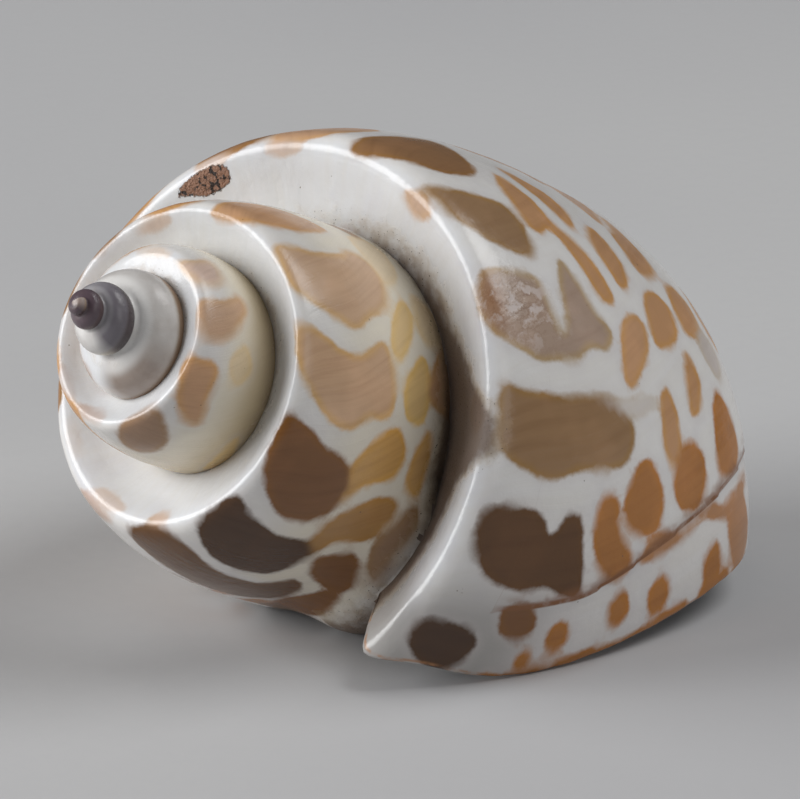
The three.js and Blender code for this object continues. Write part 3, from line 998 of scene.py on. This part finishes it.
class Painter:
    """Builds a node material."""

    def __init__(self, name):
        self.material = bpy.data.materials.new(name)
        self.material.use_nodes = True
        self.tree = self.material.node_tree
        self.shader = self.tree.nodes["Principled BSDF"]

    def node(self, kind, inputs, **settings):
        made = self.tree.nodes.new("ShaderNode" + kind)
        for name, value in settings.items():
            setattr(made, name, value)
        for key, value in inputs.items():
            self.feed(made.inputs[key], value)
        return made

    def value(self, kind, inputs, output=0, **settings):
        return Value(self, self.node(kind, inputs, **settings).outputs[output])

    def feed(self, socket, value):
        if isinstance(value, Value):
            self.tree.links.new(value.socket, socket)
        elif isinstance(value, tuple) and socket.type == "RGBA":
            socket.default_value = (*value, 1)
        else:
            socket.default_value = value

    def field(self, name):
        """The three parts of an attribute."""
        vector = self.value("Attribute", {}, "Vector", attribute_name=name)
        return [Value(self, part) for part in self.node("SeparateXYZ", {0: vector}).outputs]

    def math(self, operation, first, second):
        return self.value("Math", {0: first, 1: second}, operation=operation)

    def mix(self, share, first, second, blend="MIX"):
        return self.value("Mix", {0: share, 6: first, 7: second}, 2, data_type="RGBA", blend_type=blend)

    def noise(self, vector, scale, detail=2.0, roughness=0.5):
        inputs = {"Vector": vector, "Scale": scale, "Detail": detail, "Roughness": roughness}
        return self.value("TexNoise", inputs)

    def vector(self, *parts):
        return self.value("CombineXYZ", dict(enumerate(parts)))

    def ramp(self, value, stops):
        """Colours along a value. The stops are places with any spacing and their colours."""
        first, last = stops[0][0], stops[-1][0]
        share = self.value("MapRange", {"Value": value, "From Min": first, "From Max": last})
        made = self.node("ValToRGB", {0: share})
        elements = made.color_ramp.elements
        for i, (at, colour) in enumerate(stops):
            element = elements[i] if i < len(elements) else elements.new(1.0)
            element.position = (at - first) / (last - first)
            element.color = (*colour, 1)
        return Value(self, made.outputs[0])

    def millimetres(self):
        place = self.value("TexCoord", {}, "Object")
        return self.value("VectorMath", {0: place, "Scale": 1 / MM}, operation="SCALE")

    def finish(self, colour, rough, height):
        """Feeds the shader. The height is relief in millimetres."""
        self.feed(self.shader.inputs["Base Color"], colour)
        self.feed(self.shader.inputs["Roughness"], rough)
        self.feed(self.shader.inputs["Normal"], self.value("Bump", {"Height": height, "Distance": MM}))
        return self.material


def shell_material():
    """Glossy lime: white with brown blotches, growth lines, dirt and painted shade in the channel and a
    grey tip.
    """
    paint = Painter("shell_porcelain")
    theta, across, age = paint.field("growth")
    blotch, strength, worn = paint.field("marks")
    crust, past_mark, from_lip = paint.field("stains")
    glaze, channel_dirt_and_shade, _ = paint.field("cover")
    tone = paint.value("Attribute", {}, "Color", attribute_name="tone")
    place = paint.millimetres()
    broad = paint.noise(place, BROAD_GRAIN)
    medium = paint.noise(place, MEDIUM_GRAIN, 3.0)
    fine = paint.noise(place, FINE_GRAIN, 3.0)
    line_place = paint.vector(age * LINE_GRAIN[0], across * LINE_GRAIN[1])
    growth_lines = paint.noise(line_place, 1.0, 5.0, 0.6)
    streak_place = paint.vector(age * STREAK_GRAIN[0], across * STREAK_GRAIN[1], 4.0)
    streaks = paint.noise(streak_place, 1.0, 3.0)

    # White ground, with faint cream and lilac bands along the growth lines, greyer beside the lip, and
    # painted shade on the shoulder's end at the lip
    colour = paint.mix(streaks.fade(0.35, 0.75, 0, 0.5), WHITE, CREAM)
    colour = colour.coat(broad.fade(0.45, 0.75, 0, 0.5), LILAC)
    colour = colour.coat(growth_lines.fade(0.5, 0.8, 0, 0.25), CREAM)
    colour = colour.coat(theta.fade(-400, -300, 0.3, 0), CREAM)
    colour = colour.tint(across.fade(*SHELF_EDGE, 1, 0), SHELF_TINT)
    colour = colour.coat(age.fade(-26, -6, 0, 0.45) * across.fade(0.3, 0.5, 1, 0.3), HALO)
    # painted shade: grey on the shoulder's end beside the lip
    colour = colour.coat(age.fade(-26, -8) * across.fade(0.22, 0.4, 1, 0) * 0.8, HORN_PAINTED_SHADE)

    # The grey and purple tip
    tip = paint.ramp(theta, TIP_COLOURS).tint(medium.fade(0.4, 0.7, 0, 0.3), MARKING_DARK)
    tip_whorl = theta.band(*TIP_WHORL)
    tip = tip.coat(tip_whorl * across.fade(0.05, 0.4, 0, 0.8), TIP_DARK)
    tip = tip.coat(tip_whorl * across.fade(-0.28, -0.1, 0.4, 0), TIP_BAND)
    grey_whorl = theta.band(*GREY_WHORL)
    tip = tip.coat(grey_whorl * across.fade(0.15, 0.35, 0, 0.85), TIP_SUTURE)
    tip = tip.coat(grey_whorl * across.fade(-0.28, -0.06, 0.9, 0), WHITE)
    colour = colour.coat(theta.fade(*TIP_FADE, 1, 0), tip)

    # The spire's whorls are olive brown towards the suture below, partly painted shade there, and all but
    # the last one are warmer
    colour = colour.tint(across.fade(*OLIVE_WALL_AND_SHADE) * theta.band(*OLIVE_WHORLS), SUTURE_TINT_AND_SHADE)
    colour = colour.tint(across.fade(*WARM_WALL) * theta.fade(*BEFORE_LAST_WHORL, 1, 0), WARM_TINT)

    # Blotches: an orange rim, faint streaks and paler places, with a lilac shade round them
    edge = blotch + (medium - 0.5) * 0.3 + (fine - 0.5) * 0.1 + MARKING_SWELL
    colour = colour.coat(edge.fade(-0.75, 0.05, 0, 0.3) * strength, HALO)
    marking = tone.tint(1.0, RIM_TINT).coat(edge.fade(0.0, 0.6), tone)
    marking = marking.tint(streaks.fade(0.4, 0.75, 0, 0.4), MARKING_DARK)
    marking = marking.tint(broad.fade(0.45, 0.7, 0, 0.45), MARKING_PALE)

    # The scratched blotch has a rusty upper edge, chips that show the pale lime, and cracks beside them
    marking = marking.coat(worn * across.fade(0.02, 0.08, 1, 0), WORN_EDGE)
    chip_place = paint.value("Mapping", {0: place, "Scale": CHIP_STRETCH})
    chipping = paint.noise(chip_place, CHIP_GRAIN, 4.0, 0.6)
    worn_through = chipping.fade(0.49, 0.62) * worn
    marking = marking.coat(worn_through, SCRATCH)
    marking = marking.tint(chipping.band(0.44, 0.47, 0.48, 0.51) * worn * 0.7, MARKING_DARK)
    sharpness = paint.noise(place, 0.55).fade(0.35, 0.62, 0.45, 1.3) * theta.fade(-720, -600, 0.8, 1)
    colour = colour.coat((edge * sharpness).fade(-0.2, 0.2) * strength, marking)

    # The old lip's brown line with the stain behind it, and the stains beside the lip
    stain = past_mark.fade(-1.2, -0.1) * paint.noise(place, 0.8).fade(0.4, 0.58, 0.15, 0.85)
    line = past_mark.fade(-0.55, -0.15) * medium.fade(0.35, 0.6, 0.7, 1)
    near_line = past_mark.fade(0.04, 0.2, 1, 0) * across.fade(0.14, 0.22)
    colour = colour.coat(near_line * paint.math("MAXIMUM", stain, line), MARK_BROWN)
    colour = colour.coat(from_lip.band(0.25, 0.4, 0.42, 0.6) * medium.fade(0.4, 0.6, 0.1, 0.7), LIP_STAIN)
    lip_stain = from_lip.fade(0.1, 0.5, 1, 0) * paint.noise(place, 0.9).fade(0.48, 0.58)
    colour = colour.coat(lip_stain * 0.7, LIP_STAIN)

    # Inside and callus: a plain glaze
    colour = colour.coat(glaze * 0.95, GLAZE)

    # Dirt with painted shade in the channel, dark flecks in it, and a few specks anywhere
    grime_and_shade = (channel_dirt_and_shade + (medium - 0.5) * 0.7).fade(0.15, 0.85)
    soil_and_shade = paint.mix(channel_dirt_and_shade.fade(0.35, 0.8), DIRT_AND_SHADE_PALE, DIRT_AND_SHADE_BROWN)
    colour = colour.coat(grime_and_shade * 0.85, soil_and_shade)
    colour = colour.coat(fine.fade(0.66, 0.72) * channel_dirt_and_shade.fade(0.15, 0.4), DIRT_FLECK)
    colour = colour.coat(paint.noise(place, 2.6, 1.0).fade(0.8, 0.83, 0, 0.7), SPECK)

    # The dark crust on the shelf, with painted shade in its pits
    crust_cover = (crust + (fine - 0.5) * 0.35).fade(-0.05, 0.05)
    crust_and_pit_shade = paint.mix(paint.noise(place, 3.2).fade(0.52, 0.6), CRUST_BROWN, CRUST_PIT_SHADE)
    colour = colour.coat(crust_cover, crust_and_pit_shade)

    rough = medium * GLOSS_CHANGE + GLOSS + worn_through * WORN_ROUGH
    rough = rough + grime_and_shade * DIRT_ROUGH + crust_cover * CRUST_ROUGH
    height = growth_lines * across.fade(-0.05, 0.1, *LINE_RELIEF) + fine * FINE_RELIEF
    height = height + medium * MEDIUM_RELIEF + worn_through * WORN_RELIEF
    height = height + crust_cover * fine * CRUST_RELIEF + grime_and_shade * fine * DIRT_RELIEF
    return paint.finish(colour, rough, height)


def floor_material():
    """Pale matt paper with a faint grain."""
    paint = Painter("studio_floor")
    place = paint.millimetres()
    grain = paint.noise(place, 0.8, 4.0)
    colour = paint.mix(paint.noise(place, 0.01).fade(0.3, 0.7), FLOOR_PALE, FLOOR_SHADE)
    colour = colour.coat(grain.fade(0.4, 0.8, 0, 0.15), FLOOR_SHADE)
    return paint.finish(colour, grain.fade(0.2, 0.8, 0.75, 0.9), grain * FLOOR_RELIEF)


mesh, growth = joined([whorls(), open_wall(), columella()])
coiled = coordinates(mesh)
mesh.vertices.foreach_set("co", lay_down(coiled).astype(np.float32).ravel())
mesh.name = "shell_skin"
mesh.shade_smooth()
mesh.update()
paint_fields(mesh, growth)
mesh.materials.clear()
mesh.materials.append(shell_material())
shell = bpy.data.objects.new("shell_skin", mesh)
bpy.context.scene.collection.objects.link(shell)

# Camera at the photograph's angle
IMAGE_WIDTH = 800
FOCAL_PIXELS = 5194.5
SENSOR = 36.0
CAMERA_AIM = Vector((3.51, 1.65, 9.83)) * MM
CAMERA_DISTANCE = 281.19 * MM
CAMERA_AZIMUTH = -47.24
CAMERA_ELEVATION = 20.59


def add_camera():
    lens = bpy.data.cameras.new("camera")
    lens.sensor_width = SENSOR
    lens.lens = FOCAL_PIXELS * SENSOR / IMAGE_WIDTH
    lens.clip_start = 0.01
    lens.clip_end = 20
    camera = bpy.data.objects.new("camera", lens)
    camera.rotation_euler = (math.radians(90 - CAMERA_ELEVATION), 0, math.radians(CAMERA_AZIMUTH))
    camera.location = CAMERA_AIM + camera.rotation_euler.to_matrix().col[2] * CAMERA_DISTANCE
    bpy.context.scene.collection.objects.link(camera)
    bpy.context.scene.camera = camera


def add_area_light(name, place, aim, size, power):
    light = bpy.data.lights.new(name, "AREA")
    light.shape = "DISK"
    light.size = size
    light.energy = power
    lamp = bpy.data.objects.new(name, light)
    lamp.location = place
    lamp.rotation_euler = (Vector(aim) - Vector(place)).to_track_quat("-Z", "Y").to_euler()
    bpy.context.scene.collection.objects.link(lamp)


# Three soft lights: name, direction from the shell, distance, size and power
LIGHTS = [
    ("left", (-0.676, 0.639, 0.366), 0.6, 0.45, 3.7),
    ("right", (0.38, -0.38, 0.84), 0.6, 0.4, 1.75),
    ("front", (-0.25, -0.88, 0.4), 0.8, 0.5, 0.8),
]
WORLD_STRENGTH = 0.05
WORLD_COLOUR = (0.9, 0.93, 1.0, 1)
FLOOR_HALF = 2.0  # metres

add_camera()
for name, direction, distance, size, power in LIGHTS:
    add_area_light(name, Vector(direction).normalized() * distance + CAMERA_AIM, CAMERA_AIM, size, power)
world = bpy.data.worlds.new("world")
world.use_nodes = True
sky = world.node_tree.nodes["Background"]
sky.inputs["Color"].default_value = WORLD_COLOUR
sky.inputs["Strength"].default_value = WORLD_STRENGTH
bpy.context.scene.world = world
bpy.context.scene.view_settings.view_transform = "Standard"

floor_mesh = bpy.data.meshes.new("floor")
floor_corners = [(x * FLOOR_HALF, y * FLOOR_HALF, 0) for x, y in ((-1, -1), (1, -1), (1, 1), (-1, 1))]
floor_mesh.from_pydata(floor_corners, [], [(0, 1, 2, 3)])
floor_mesh.materials.append(floor_material())
floor = bpy.data.objects.new("floor", floor_mesh)
bpy.context.scene.collection.objects.link(floor)

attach(shell, "root")
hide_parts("shell")
